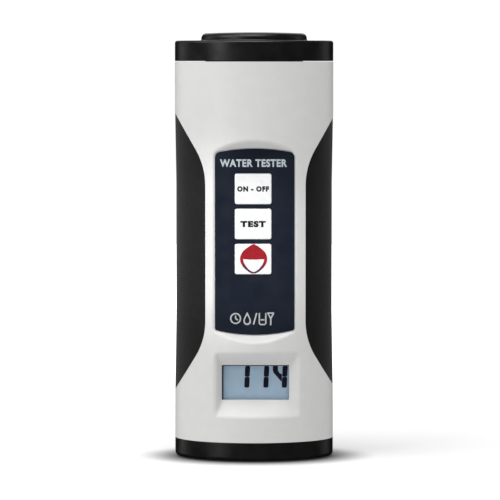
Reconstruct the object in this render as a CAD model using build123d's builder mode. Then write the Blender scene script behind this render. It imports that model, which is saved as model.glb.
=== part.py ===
"""Handheld digital water tester: a photometer with a built-in sample cell.

An upright oval case of two shells stands on a black base cap. A black cover lifts off the sample
cell at the top. The front carries a label with three keys, and a display in a sloped recess.
The frame is in millimetres: origin at the middle of the underside, +Z up, the front facing -Y.
"""

import os
from math import acos, cos, degrees, radians, sin, sqrt, tan

from build123d import *

# ------------------------------------------------------------------ driving dimensions
width, depth, height = 61.5, 48.4, 165.0
half_w, half_d = width / 2, depth / 2
wall = 3.0  # case wall
play = 0.1  # clearance between neighbours that don't move

cap_bottom, base_top, base_ring_top = 0.4, 7.4, 9.6
shell_bottom, shell_top = 7.5, 153.7
cover_bottom, cover_shoulder = 153.9, 161.8
cover_disc_radius, cover_crown = 20.5, 0.45  # the disc on the cover, and how far its top is domed

grip_depth = 1.5  # rubber thickness at the ends of a grip
grip_waist = 0.5  # how far the grip draws in at mid height
grip_waist_low, grip_waist_high = 58.0, 107.0
grip_tip_low, grip_tip_high = 24.5, 137.0
left_grip_edge, right_grip_edge = 18.8, 19.8  # from the middle to a grip's inner edge
grip_low, grip_high = 54.1, 106.3  # the straight stretch of the grip's inner edge
grip_arc_radius, grip_arc_turn = 27.0, 30.5

label_half_width = 15.25
label_x = 0.2
label_low, label_low_corner = 49.0, 50.9
label_high, label_high_corner = 120.4, 118.8
label_face, label_floor = -21.0, -20.5  # Y of the label's face and of its seat
scoop_angle, scoop_reach = 38, 4.6  # the slopes round the label, measured from the way it faces
key_plate_back = -18.4  # Y of the wall's inside behind the label

key_width, key_height, key_pitch = 14.05, 11.7, 13.45
key_x, key_middle_z = -0.4, 91.55
key_face, key_gap = -21.35, 0.15
key_names = ["bottom", "middle", "top"]

window_x, window_z = (-12.45, 13.46), (23.6, 37.05)
recess_x, recess_z = (-15.0, 17.2), (17.3, 41.9)
window_plane, display_plate_back = -18.2, -17.2

board_front, board_back = -12.6, -11.0
board_half_width, board_low, board_high = 20.5, 18.5, 119.5

cell_inner, cell_corner = (22.0, 14.0), 3.0
cell_wall = 1.5
cell_floor, cell_rim = 127.5, 159.7
light_path_z = 136.0
block_size, block_low, block_high = (34.0, 21.0), 122.0, 150.5
deck_low, ledge_low, ledge_step = 150.6, 148.6, 1.6
spigot_radius, spigot_top = 19.0, 159.6
cover_bore_radius, cover_ceiling = 19.4, 161.4
o_ring_section, o_ring_z = 0.8, 157.0

battery_radius, battery_foot, battery_top = 5.25, 12.6, 57.1
battery_pitch, battery_y = 11.2, 4.0
battery_places = [(battery_pitch * (i - 1.5), battery_y) for i in range(4)]
tray_low, tray_high = 9.9, 59.4
tray_half_width, tray_half_depth = 23.4, 6.2
plate_thickness, base_platform_top = 0.4, 8.0

case_screw_places = [(x, z) for x in (-14.5, 14.5) for z in (66.0, 113.0)]
board_screw_places = [(x, z) for x in (-16.0, 16.0) for z in (50.0, 98.0)]
front_base_screws = [(-14.0, -8.5), (14.0, -8.5)]
rear_base_screw = (0.0, 16.0)
deck_screw_places = [(x, y) for x in (-21.5, 21.5) for y in (-9.5, 9.5)]
block_screw_places = [(x, y) for x in (-14.4, 14.4) for y in (-7.9, 7.9)]
foot_places = [(x, y) for x in (-20.5, 20.5) for y in (-7.0, 7.0)]

FRONT = Plane.XZ  # local x is X, local y is Z, and it faces -Y
BACK = Plane((0, 0, 0), x_dir=(-1, 0, 0), z_dir=(0, 1, 0))  # local x is -X, and it faces +Y
UP = (Align.CENTER, Align.CENTER, Align.MIN)
DOWN = (Align.CENTER, Align.CENTER, Align.MAX)


def front_plane(y):
    """The plane facing the front at that Y."""
    return FRONT.offset(-y)


def level(z):
    """The plane facing up at that height."""
    return Plane.XY.offset(z)


def surface_y(x):
    """Y of the case's front surface at that X."""
    return -half_d * sqrt(1 - (x / half_w) ** 2)


def middle(span):
    return (span[0] + span[1]) / 2


def length(span):
    return span[1] - span[0]


def save(piece, name):
    """Label a finished piece and write it."""
    piece.part.label = name
    export_step(piece.part, f"parts/{name}.step")


os.makedirs("parts", exist_ok=True)


# ------------------------------------------------------------------ shared outlines
def label_outline(grow=0.0):
    """The label: straight sides, an arched top with round corners, and a bellied foot."""
    side = label_half_width + grow
    foot, shoulder = label_low_corner - grow, label_high_corner + grow
    with BuildSketch() as outline:
        with BuildLine():
            Line((-side, foot), (-side, shoulder))
            ThreePointArc((-side, shoulder), (0, label_high + grow), (side, shoulder))
            Line((side, shoulder), (side, foot))
            ThreePointArc((side, foot), (0, label_low - grow), (-side, foot))
        make_face()
        fillet(outline.vertices().group_by(Axis.Y)[-1], 2.2)
        fillet(outline.vertices().group_by(Axis.Y)[0], 1.0)
    return outline.sketch.moved(Location((label_x, 0, 0)))


def key_openings(gap):
    """The three key openings, one above the other."""
    with BuildSketch() as outline:
        with Locations(*[(key_x, key_middle_z + key_pitch * step) for step in (-1, 0, 1)]):
            RectangleRounded(key_width + 2 * gap, key_height + 2 * gap, 0.8 + gap)
    return outline.sketch


def grip_outline(edge_x, grow):
    """A grip on the right, from the front: a straight inner edge that flares out at both ends."""
    edge, outer = edge_x - grow, half_w + 6
    turn = radians(grip_arc_turn)
    arc_x = edge + grip_arc_radius * (1 - cos(turn))
    arc_rise = grip_arc_radius * sin(turn)
    tip_rise = arc_rise + (outer - arc_x) / tan(turn)
    with BuildSketch() as outline:
        with BuildLine():
            Line((edge, grip_low), (edge, grip_high))
            TangentArc((edge, grip_high), (arc_x, grip_high + arc_rise), tangent=(0, 1))
            Line((arc_x, grip_high + arc_rise), (outer, grip_high + tip_rise))
            Line((outer, grip_high + tip_rise), (outer, grip_low - tip_rise))
            Line((outer, grip_low - tip_rise), (arc_x, grip_low - arc_rise))
            TangentArc((edge, grip_low), (arc_x, grip_low - arc_rise), tangent=(0, -1))
        make_face()
    return outline.sketch


def cell_outline(grow=0.0):
    """The sample cell seen from above, outside its wall."""
    with BuildSketch() as outline:
        RectangleRounded(
            cell_inner[0] + 2 * (cell_wall + grow),
            cell_inner[1] + 2 * (cell_wall + grow),
            cell_corner + cell_wall + grow,
        )
    return outline.sketch


# ------------------------------------------------------------------ shared forms
def grip_prism(edge_x, grow=0.0):
    """The outline of a grip on the right, carried through the case from front to back."""
    with BuildPart() as prism:
        with BuildSketch(front_plane(depth)):
            add(grip_outline(edge_x, grow))
        extrude(amount=2 * depth)
    return prism.part


def oval_hoop(bottom, top, inset):
    """Everything outside the case's oval, drawn in by the inset, between two heights."""
    with BuildPart() as hoop:
        with BuildSketch(level(bottom)):
            Rectangle(2 * width, 2 * depth)
            Ellipse(half_w - inset, half_d - inset, mode=Mode.SUBTRACT)
        extrude(amount=top - bottom)
    return hoop.part


def display_recess():
    """The recess's slopes run straight from the window to its rim on the round front."""

    def loop(x_span, z_span, y):
        left, right = x_span
        low, high = z_span
        corners = [(left, y, low), (right, y, low), (right, y, high), (left, y, high)]
        return Wire.make_polygon(corners, close=True)

    start, end = (360 - degrees(acos(x / half_w)) for x in recess_x)
    low_arc, high_arc = (Edge.make_ellipse(half_w, half_d, level(z), start, end) for z in recess_z)
    left_side, right_side = (Edge.make_line(low_arc @ t, high_arc @ t) for t in (0, 1))
    rim = Wire([low_arc, right_side, high_arc, left_side])
    window = loop(window_x, window_z, window_plane)
    outside = loop(recess_x, recess_z, -1.5 * half_d)
    return Solid.make_loft([window, rim, outside], ruled=True)


def rating_plate_form(grow, inner, outer):
    """A plate bent to the case's back, between two insets from the case's surface."""
    with BuildPart() as plate:
        with BuildSketch(BACK):
            with Locations((0, 90.0)):
                RectangleRounded(22.0 + 2 * grow, 32.0 + 2 * grow, 1.5 + grow)
        extrude(amount=depth)
        add(oval_hoop(70.0, 110.0, inner), mode=Mode.INTERSECT)
        with BuildSketch(level(70.0)):
            Ellipse(half_w - outer, half_d - outer)
        extrude(amount=40.0, mode=Mode.INTERSECT)
    return plate.part


with BuildPart() as cavity:
    for bottom, top, inset in (
        (shell_bottom, ledge_low, wall),
        (ledge_low, deck_low, wall + ledge_step),
        (deck_low, shell_top, wall),
    ):
        with BuildSketch(level(bottom)):
            Ellipse(half_w - inset, half_d - inset)
        extrude(amount=top - bottom)
    # The front wall is thick behind the label and behind the display.
    for low, high, back in ((45.0, 125.0, key_plate_back), (13.0, 45.0, display_plate_back)):
        with Locations((0, back, low)):
            Box(width, 10, high - low, align=(Align.CENTER, Align.MAX, Align.MIN), mode=Mode.SUBTRACT)

seal_x, seal_width, seal_depth = 28.55, 0.7, 1.6
seal_low, seal_high = 12.0, 146.0

with BuildPart() as case_cuts:
    # Grip pockets on both sides, and the channels for the side seals in the seam.
    add(grip_prism(right_grip_edge, play / 2))
    add(grip_prism(left_grip_edge, play / 2).mirror(Plane.YZ))
    add(oval_hoop(shell_bottom, shell_top, grip_depth + play), mode=Mode.INTERSECT)
    with Locations((-seal_x, 0, seal_low - play), (seal_x, 0, seal_low - play)):
        Box(seal_width + play, seal_depth + play, seal_high - seal_low + 2 * play, align=UP)

# ------------------------------------------------------------------ fasteners
def screw(head_radius, head_height, shank_radius, shank_length):
    """A pan-head screw with a cross recess. The shank hangs down from z = 0."""
    with BuildPart() as body:
        Cylinder(shank_radius, shank_length, align=DOWN)
        chamfer(body.edges().sort_by(Axis.Z)[0], shank_radius * 0.4)
        Cylinder(head_radius, head_height, align=UP)
        fillet(body.edges().sort_by(Axis.Z)[-1], head_height * 0.45)
        with Locations((0, 0, head_height)):
            Box(head_radius * 1.25, head_radius * 0.28, head_height, mode=Mode.SUBTRACT)
            Box(head_radius * 0.28, head_radius * 1.25, head_height, mode=Mode.SUBTRACT)
    return body.part


case_screw = screw(2.4, 1.8, 1.4, 16.0)
base_screw = screw(2.3, 1.6, 1.4, 12.0)
small_screw = screw(1.9, 1.4, 1.0, 8.0)
case_screw_seat, base_screw_seat, block_screw_seat = 8.0, 2.4, 144.0
deck_screw_seat = 152.0
thread_gap = 0.05

# ------------------------------------------------------------------ case shells
with BuildPart() as front_shell:
    with BuildSketch(level(shell_bottom)):
        Ellipse(half_w, half_d)
        with Locations((0, -play / 2)):
            Rectangle(2 * width, depth, align=(Align.CENTER, Align.MIN), mode=Mode.SUBTRACT)
    extrude(amount=shell_top - shell_bottom)
    # Seat for the label, with slopes up from it to the round front.
    with BuildSketch(front_plane(label_floor)):
        add(label_outline(play))
    extrude(amount=scoop_reach, taper=-scoop_angle, mode=Mode.SUBTRACT)
    scoop_edges = front_shell.edges().filter_by(
        lambda e: e.center().Y < -half_d + 0.5 and label_low - 5 < e.center().Z < label_high + 5
    )
    fillet(scoop_edges, 1.5)
    # Display recess, with soft corners and a soft rim.
    add(display_recess(), mode=Mode.SUBTRACT)
    recess_corners = front_shell.edges().filter_by(
        lambda e: recess_z[0] < e.center().Z < recess_z[1]
        and min(abs(e.center().X - middle((a, b))) for a, b in zip(recess_x, window_x)) < 0.6
        and e.geom_type == GeomType.BSPLINE
    )
    fillet(recess_corners, 1.2)
    recess_rim = front_shell.edges().filter_by(
        lambda e: recess_z[0] - 0.6 < e.center().Z < recess_z[1] + 0.6
        and abs(e.center().Y - surface_y(e.center().X)) < 0.15
    )
    fillet(recess_rim, 1.8)
    add(case_cuts.part, mode=Mode.SUBTRACT)
    add(cavity.part, mode=Mode.SUBTRACT)
    # Posts for the case screws and the board screws.
    with BuildSketch(front_plane(-play / 2)):
        with Locations(*case_screw_places):
            Circle(2.9)
    extrude(amount=19.0)
    with BuildSketch(front_plane(board_front - play)):
        with Locations(*board_screw_places):
            Circle(2.4)
    extrude(amount=5.8)
    # Bosses for the base screws, each with a rib to the front wall.
    for x, y in front_base_screws:
        with Locations((x, y, shell_bottom)):
            Cylinder(3.0, 10.0, align=UP)
        with Locations((x, y, 11.0)):
            Box(1.8, 10.0, 6.5, align=(Align.CENTER, Align.MAX, Align.MIN))
    # Bosses for the deck screws.
    for x, y in deck_screw_places[::2]:
        with Locations((x, y, deck_low)):
            Cylinder(3.2, 10.0, align=DOWN)
    # Screw holes.
    with BuildSketch(front_plane(-play / 2)):
        with Locations(*case_screw_places):
            Circle(1.4 + thread_gap)
    extrude(amount=9.0, mode=Mode.SUBTRACT)
    with BuildSketch(front_plane(board_front - play)):
        with Locations(*board_screw_places):
            Circle(1.0 + thread_gap)
    extrude(amount=5.5, mode=Mode.SUBTRACT)
    with Locations(*[(x, y, shell_bottom) for x, y in front_base_screws]):
        Cylinder(1.4 + thread_gap, 9.0, align=UP, mode=Mode.SUBTRACT)
    with Locations(*[(x, y, deck_low) for x, y in deck_screw_places[::2]]):
        Cylinder(1.0 + thread_gap, 8.5, align=DOWN, mode=Mode.SUBTRACT)
    # Key openings and the display opening.
    with BuildSketch(front_plane(0)):
        add(key_openings(key_gap))
        with Locations((middle(window_x), middle(window_z))):
            Rectangle(length(window_x), length(window_z))
    extrude(amount=half_d, mode=Mode.SUBTRACT)
save(front_shell, "front_shell")

with BuildPart() as rear_shell:
    with BuildSketch(level(shell_bottom)):
        Ellipse(half_w, half_d)
        with Locations((0, play / 2)):
            Rectangle(2 * width, depth, align=(Align.CENTER, Align.MAX), mode=Mode.SUBTRACT)
    extrude(amount=shell_top - shell_bottom)
    add(case_cuts.part, mode=Mode.SUBTRACT)
    add(cavity.part, mode=Mode.SUBTRACT)
    add(rating_plate_form(play, 0.4, -1.0), mode=Mode.SUBTRACT)
    # Deep sockets for the case screws.
    with BuildSketch(BACK.offset(play / 2)):
        with Locations(*[(-x, z) for x, z in case_screw_places]):
            Circle(4.0)
    extrude(amount=19.0)
    # Ribs that hold the battery tray.
    for x in (-12.0, 12.0):
        with Locations((x, battery_y + tray_half_depth + play, 11.0)):
            Box(1.8, 10.0, 46.0, align=(Align.CENTER, Align.MIN, Align.MIN))
    # Boss and rib for the rear base screw, and bosses for the deck screws.
    with Locations((*rear_base_screw, shell_bottom)):
        Cylinder(3.0, 10.0, align=UP)
    with Locations((*rear_base_screw, 11.0)):
        Box(1.8, 6.0, 6.5, align=(Align.CENTER, Align.MIN, Align.MIN))
    with Locations(*[(x, y, deck_low) for x, y in deck_screw_places if y > 0]):
        Cylinder(3.2, 10.0, align=DOWN)
    # Screw holes.
    with BuildSketch(BACK):
        with Locations(*[(-x, z) for x, z in case_screw_places]):
            Circle(1.6)
    extrude(amount=half_d, mode=Mode.SUBTRACT)
    with BuildSketch(BACK.offset(case_screw_seat)):
        with Locations(*[(-x, z) for x, z in case_screw_places]):
            Circle(2.7)
    extrude(amount=half_d, mode=Mode.SUBTRACT)
    with Locations((*rear_base_screw, shell_bottom)):
        Cylinder(1.4 + thread_gap, 9.0, align=UP, mode=Mode.SUBTRACT)
    with Locations(*[(x, y, deck_low) for x, y in deck_screw_places if y > 0]):
        Cylinder(1.0 + thread_gap, 8.5, align=DOWN, mode=Mode.SUBTRACT)
save(rear_shell, "rear_shell")

with BuildPart() as rating_plate:
    add(rating_plate_form(0, 0.35, 0.05))
save(rating_plate, "rating_plate")

with BuildPart() as case_screws:
    for x, z in case_screw_places:
        with Locations(Location((x, case_screw_seat, z), (-90, 0, 0))):
            add(case_screw)
save(case_screws, "case_screws")

with BuildPart() as side_seals:
    with Locations((-seal_x, 0, seal_low), (seal_x, 0, seal_low)):
        Box(seal_width - play, seal_depth - play, seal_high - seal_low, align=UP)
save(side_seals, "side_seals")


# ------------------------------------------------------------------ side grips
def side_grip(edge_x):
    """A rubber grip on the right, a little slimmer at mid height than at its tips."""
    with BuildPart() as grip:
        for z, draw_in in (
            (grip_tip_low, 0.0),
            (grip_waist_low, grip_waist),
            (grip_waist_high, grip_waist),
            (grip_tip_high, 0.0),
        ):
            with BuildSketch(level(z)):
                Ellipse(half_w - draw_in, half_d - draw_in)
        loft(ruled=True)
        with BuildSketch(level(grip_tip_low)):
            Ellipse(half_w - grip_depth, half_d - grip_depth)
        extrude(amount=grip_tip_high - grip_tip_low, mode=Mode.SUBTRACT)
        add(grip_prism(edge_x), mode=Mode.INTERSECT)
    return grip.part


with BuildPart() as grip_right:
    add(side_grip(right_grip_edge))
save(grip_right, "grip_right")

with BuildPart() as grip_left:
    add(side_grip(left_grip_edge).mirror(Plane.YZ))
save(grip_left, "grip_left")

# ------------------------------------------------------------------ label and keys
with BuildPart() as label_panel:
    with BuildSketch(front_plane(label_floor)):
        add(label_outline())
        add(key_openings(key_gap), mode=Mode.SUBTRACT)
    extrude(amount=label_floor - label_face)
save(label_panel, "label_panel")

flange_front, flange_back, stem_end = -18.3, -17.5, -15.3
plunger_end = -13.3


def key_form(z):
    """A key: its cap, the flange that keeps it in the wall, and the stem behind."""
    with BuildPart() as key:
        with BuildSketch(front_plane(flange_front)):
            with Locations((key_x, z)):
                RectangleRounded(key_width, key_height, 0.8)
        extrude(amount=flange_front - key_face)
        fillet(key.faces().sort_by(Axis.Y)[0].edges(), 0.3)
        with BuildSketch(front_plane(flange_back)):
            with Locations((key_x, z)):
                RectangleRounded(key_width + 1.6, key_height + 1.0, 1.0)
        extrude(amount=flange_back - flange_front)
        with BuildSketch(front_plane(stem_end)):
            with Locations((key_x, z)):
                Circle(2.2)
        extrude(amount=stem_end - flange_back)
    return key


def plunger_form(z):
    """The plunger of the push switch behind a key."""
    with BuildPart() as plunger:
        with BuildSketch(front_plane(plunger_end)):
            with Locations((key_x, z)):
                Circle(1.6)
        extrude(amount=plunger_end - (stem_end + 0.02))
    return plunger


key_heights = [key_middle_z + key_pitch * step for step in (-1, 0, 1)]
for name, z in zip(key_names, key_heights):
    save(key_form(z), f"{name}_key")
    save(plunger_form(z), f"{name}_switch_plunger")

switch_front, switch_size = -14.7, 6.2

with BuildPart() as switch_housings:
    for z in key_heights:
        with BuildSketch(front_plane(board_front)):
            with Locations((key_x, z)):
                RectangleRounded(switch_size, switch_size, 0.6)
        extrude(amount=board_front - switch_front)
        with BuildSketch(front_plane(plunger_end + 0.6)):
            with Locations((key_x, z)):
                Circle(1.75)
        extrude(amount=4.0, mode=Mode.SUBTRACT)
save(switch_housings, "switch_housings")

# ------------------------------------------------------------------ display
holder_x, holder_z, holder_wall = (-15.4, 16.2), (21.0, 39.8), 1.3
glass_x = (holder_x[0] + holder_wall + play, holder_x[1] - holder_wall - play)
glass_z = (holder_z[0] + holder_wall + play, holder_z[1] - holder_wall - play)
window_front, window_back = display_plate_back + play, -16.3
glass_front, glass_step, glass_back = -16.2, -15.2, -14.2


def slab(x_span, z_span, back, front):
    """A plain plate between two spans, from one Y forward to another."""
    with Locations((middle(x_span), back, middle(z_span))):
        Box(length(x_span), back - front, length(z_span), align=(Align.CENTER, Align.MAX, Align.CENTER))


with BuildPart() as lcd_window:
    slab(glass_x, glass_z, window_back, window_front)
    fillet(lcd_window.edges().filter_by(Axis.Y), 0.6)
save(lcd_window, "lcd_window")

with BuildPart() as lcd_glass:
    slab(glass_x, (glass_z[0] + 1.0, glass_z[1]), glass_step, glass_front)
    slab(glass_x, glass_z, glass_back, glass_step)
save(lcd_glass, "lcd_glass")

strip_x = (glass_x[0] + 1.0, glass_x[1] - 1.0)

with BuildPart() as lcd_contact_strips:
    for low in (glass_z[0] + 0.4, glass_z[1] - 2.2):
        slab(strip_x, (low, low + 1.8), board_front - 0.05, glass_back + 0.05)
save(lcd_contact_strips, "lcd_contact_strips")

with BuildPart() as lcd_holder:
    slab(holder_x, holder_z, board_front - play, window_front)
    fillet(lcd_holder.edges().filter_by(Axis.Y), 0.8)
    with BuildSketch(front_plane(0)):
        with Locations((middle(holder_x), middle(holder_z))):
            RectangleRounded(length(holder_x) - 2 * holder_wall, length(holder_z) - 2 * holder_wall, 0.4)
    extrude(amount=half_d, mode=Mode.SUBTRACT)
save(lcd_holder, "lcd_holder")

# ------------------------------------------------------------------ main board
with BuildPart() as main_board:
    with BuildSketch(front_plane(board_back)):
        with Locations((0, (board_low + board_high) / 2)):
            RectangleRounded(2 * board_half_width, board_high - board_low, 2.0)
        with Locations(*case_screw_places):
            Circle(3.4, mode=Mode.SUBTRACT)
        with Locations(*board_screw_places):
            Circle(1.2, mode=Mode.SUBTRACT)
    extrude(amount=board_back - board_front)
save(main_board, "main_board")

with BuildPart() as board_screws:
    for x, z in board_screw_places:
        with Locations(Location((x, board_back + 0.02, z), (-90, 0, 0))):
            add(screw(1.9, 1.4, 1.0, 6.5))
save(board_screws, "board_screws")

board_skin = board_back + 0.02
processor_x, processor_z, processor_size, pin_pitch = 0.0, 86.0, 10.0, 0.8

with BuildPart() as processor:
    with Locations((processor_x, board_skin + 0.2, processor_z)):
        Box(processor_size, 1.4, processor_size, align=(Align.CENTER, Align.MIN, Align.CENTER))
    chamfer(processor.faces().sort_by(Axis.Y)[-1].edges(), 0.25)
    pins = [pin_pitch * (i - 4.5) for i in range(10)]
    reach = processor_size / 2 + 0.5
    for step in pins:
        for side in (-1, 1):
            with Locations((processor_x + side * reach, board_skin, processor_z + step)):
                Box(1.2, 0.6, 0.35, align=(Align.CENTER, Align.MIN, Align.CENTER))
            with Locations((processor_x + step, board_skin, processor_z + side * reach)):
                Box(0.35, 0.6, 1.2, align=(Align.CENTER, Align.MIN, Align.CENTER))
save(processor, "processor")

chips = (((-11.0, 96.0), (6.0, 5.0)), ((10.5, 74.0), (5.0, 6.0)), ((-11.5, 78.0), (4.0, 4.0)))

with BuildPart() as board_chips:
    for (x, z), (chip_width, chip_height) in chips:
        with Locations((x, board_skin, z)):
            Box(chip_width, 1.5, chip_height, align=(Align.CENTER, Align.MIN, Align.CENTER))
save(board_chips, "board_chips")

with BuildPart() as board_capacitors:
    for x, z in ((-8.0, 106.0), (0.0, 106.0), (12.0, 86.0)):
        with Locations(Location((x, board_skin, z), (-90, 0, 0))):
            Cylinder(2.5, 5.4, align=UP)
    fillet(board_capacitors.faces().sort_by(Axis.Y)[-1].edges(), 0.5)
save(board_capacitors, "board_capacitors")

# ------------------------------------------------------------------ sample cell and optics
with BuildPart() as sample_cell:
    with BuildSketch(level(cell_floor - cell_wall)):
        add(cell_outline())
    extrude(amount=cell_rim - cell_floor + cell_wall)
    with BuildSketch(level(cell_floor)):
        RectangleRounded(*cell_inner, cell_corner)
    extrude(amount=cell_rim, mode=Mode.SUBTRACT)
save(sample_cell, "sample_cell")

cell_gap = 0.15

with BuildPart() as cell_block:
    with BuildSketch(level(block_low)):
        RectangleRounded(*block_size, 2.0)
    extrude(amount=block_high - block_low)
    with BuildSketch(level(cell_floor - cell_wall - play)):
        add(cell_outline(cell_gap))
    extrude(amount=block_high, mode=Mode.SUBTRACT)
    # Light path across the cell, wider at both ends for the emitter and the detector.
    with Locations(Location((0, 0, light_path_z), (0, 90, 0))):
        Cylinder(1.7, block_size[0], mode=Mode.SUBTRACT)
    # Sockets for the screws that hold the block up to the deck.
    with Locations(*[(x, y, block_low) for x, y in block_screw_places]):
        Cylinder(1.2, block_high - block_low, align=UP, mode=Mode.SUBTRACT)
        Cylinder(2.05, block_screw_seat - block_low, align=UP, mode=Mode.SUBTRACT)
save(cell_block, "cell_block")

with BuildPart() as block_screws:
    for x, y in block_screw_places:
        with Locations((x, y, block_screw_seat)):
            add(screw(1.9, 1.4, 1.0, 11.0).rotate(Axis.X, 180))
save(block_screws, "block_screws")

optic_face = block_size[0] / 2  # the block's side, where the small boards lie


def optic(side, radius):
    """A round optical part in the light path, with its dome towards the cell and two pins."""
    tip = cell_inner[0] / 2 + cell_wall + cell_gap + 0.3
    with BuildPart() as part:
        with Locations(Location((side * (optic_face - 0.3), 0, light_path_z), (0, -90 * side, 0))):
            Cylinder(radius, optic_face - 0.3 - tip - radius, align=UP)
        with Locations((side * (tip + radius), 0, light_path_z)):
            Sphere(radius)
        with Locations(*[(side * optic_face, y, light_path_z) for y in (-0.8, 0.8)]):
            Box(0.7, 0.4, 0.4)
    return part


save(optic(-1, 1.5), "light_source")
save(optic(1, 1.6), "light_detector")

optic_board_low, optic_board_high = 128.5, 143.5


def optic_board(side):
    """The small circuit board behind an optical part, with holes for its two pins."""
    with BuildPart() as board:
        with Locations((side * (optic_face + play + 0.6), 0, optic_board_low)):
            Box(1.2, 14.0, optic_board_high - optic_board_low, align=UP)
        fillet(board.edges().filter_by(Axis.X), 1.0)
        with Locations(*[Location((side * optic_face, y, light_path_z), (0, 90, 0)) for y in (-0.8, 0.8)]):
            Cylinder(0.4, 6.0, mode=Mode.SUBTRACT)
    return board


save(optic_board(-1), "source_board")
save(optic_board(1), "detector_board")

ribbon_width, ribbon_thickness = 5.0, 0.3
ribbon_x = optic_face + 0.7
ribbon_front, ribbon_back, ribbon_low = board_back + 1.4, board_back + 9.0, 102.0

with BuildPart() as optics_ribbons:
    # Flat flexible leads from the optic boards down to connectors on the main board.
    for side in (-1, 1):
        with BuildSketch(Plane.YZ.offset(side * ribbon_x)) as lead_outline:
            with BuildLine():
                Polyline(
                    (ribbon_back - ribbon_width, optic_board_low - play),
                    (ribbon_back, optic_board_low - play),
                    (ribbon_back, ribbon_low),
                    (ribbon_front, ribbon_low),
                    (ribbon_front, ribbon_low + ribbon_width),
                    (ribbon_back - ribbon_width, ribbon_low + ribbon_width),
                    close=True,
                )
            make_face()
            fillet(lead_outline.vertices().sort_by_distance((ribbon_back, ribbon_low, 0))[0], 3.0)
        extrude(amount=ribbon_thickness / 2, both=True)
save(optics_ribbons, "optics_ribbons")

connector_z = ribbon_low + ribbon_width / 2

with BuildPart() as ribbon_connectors:
    for side in (-1, 1):
        with Locations((side * ribbon_x, board_skin, connector_z)):
            Box(2.6, 3.0, ribbon_width + 2.4, align=(Align.CENTER, Align.MIN, Align.CENTER))
        with Locations((side * ribbon_x, board_skin + 0.8, connector_z)):
            Box(
                ribbon_thickness + 0.1,
                3.0,
                ribbon_width + 0.3,
                align=(Align.CENTER, Align.MIN, Align.CENTER),
                mode=Mode.SUBTRACT,
            )
save(ribbon_connectors, "ribbon_connectors")

# ------------------------------------------------------------------ deck, cover and seals
groove_depth = spigot_radius - (cover_bore_radius - play - 2 * o_ring_section)

with BuildPart() as top_deck:
    with BuildSketch(level(deck_low)):
        Ellipse(half_w - wall - play, half_d - wall - play)
    extrude(amount=shell_top - deck_low)
    with Locations((0, 0, shell_top)):
        Cylinder(spigot_radius, spigot_top - shell_top, align=UP)
    chamfer(top_deck.faces().sort_by(Axis.Z)[-1].edges(), 0.6)
    # Groove for the ring seal.
    with BuildSketch(level(o_ring_z - o_ring_section)):
        Circle(spigot_radius + 1)
        Circle(spigot_radius - groove_depth, mode=Mode.SUBTRACT)
    extrude(amount=2 * o_ring_section, mode=Mode.SUBTRACT)
    with BuildSketch(level(deck_low)):
        add(cell_outline(cell_gap))
    extrude(amount=spigot_top - deck_low, mode=Mode.SUBTRACT)
    with Locations(*[(x, y, deck_low) for x, y in deck_screw_places]):
        Cylinder(1.2, 4.0, align=UP, mode=Mode.SUBTRACT)
    with Locations(*[(x, y, deck_screw_seat) for x, y in deck_screw_places]):
        Cylinder(2.2, 4.0, align=UP, mode=Mode.SUBTRACT)
    with Locations(*[(x, y, deck_low) for x, y in block_screw_places]):
        Cylinder(1.0 + thread_gap, 5.0, align=UP, mode=Mode.SUBTRACT)
save(top_deck, "top_deck")

with BuildPart() as deck_screws:
    with Locations(*[(x, y, deck_screw_seat) for x, y in deck_screw_places]):
        add(small_screw)
save(deck_screws, "deck_screws")

with BuildPart() as cover_o_ring:
    with Locations((0, 0, o_ring_z)):
        Torus(cover_bore_radius - play - o_ring_section, o_ring_section - 0.02)
save(cover_o_ring, "cover_o_ring")

with BuildPart() as cell_cover:
    with BuildSketch(level(cover_bottom)):
        Ellipse(half_w, half_d)
    extrude(amount=cover_shoulder - cover_bottom)
    fillet(cell_cover.faces().sort_by(Axis.Z)[-1].edges(), 1.0)
    fillet(cell_cover.faces().sort_by(Axis.Z)[0].edges(), 0.25)
    # A disc with a slightly domed top and a round edge.
    dome_radius = (cover_disc_radius**2 + cover_crown**2) / (2 * cover_crown)
    with BuildSketch(Plane.XZ):
        with BuildLine():
            rim = (cover_disc_radius, height - cover_crown)
            Polyline((0, height), (0, cover_shoulder), (cover_disc_radius, cover_shoulder), rim)
            RadiusArc(rim, (0, height), -dome_radius)
        make_face()
    revolve(axis=Axis.Z)
    disc_rim = cell_cover.edges().filter_by(lambda e: abs(e.center().Z - height + cover_crown) < 0.01)
    fillet(disc_rim, 2.0)
    disc_foot = cell_cover.edges().filter_by(
        lambda e: e.geom_type == GeomType.CIRCLE and abs(e.center().Z - cover_shoulder) < 0.01
    )
    fillet(disc_foot, 0.6)
    # The bore that pushes over the spigot, and hollows on both sides of it.
    with Locations((0, 0, cover_bottom)):
        Cylinder(cover_bore_radius, cover_ceiling - cover_bottom, align=UP, mode=Mode.SUBTRACT)
    with BuildSketch(level(cover_bottom)):
        Ellipse(half_w - 2.4, half_d - 2.4)
        Circle(cover_bore_radius + 1.6, mode=Mode.SUBTRACT)
    extrude(amount=cover_shoulder - 2.4 - cover_bottom, mode=Mode.SUBTRACT)
save(cell_cover, "cell_cover")

with BuildPart() as cover_seal_pad:
    with Locations((0, 0, cover_ceiling - 0.05)):
        Cylinder(16.5, cover_ceiling - 0.05 - cell_rim - play, align=DOWN)
    fillet(cover_seal_pad.faces().sort_by(Axis.Z)[0].edges(), 0.4)
save(cover_seal_pad, "cover_seal_pad")

# ------------------------------------------------------------------ base
cap_floor_top, foot_radius, foot_pocket_top = 2.8, 3.2, 1.3
gasket_inset = (1.6, 2.85)  # from the case's surface
base_screw_places = front_base_screws + [rear_base_screw]

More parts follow.
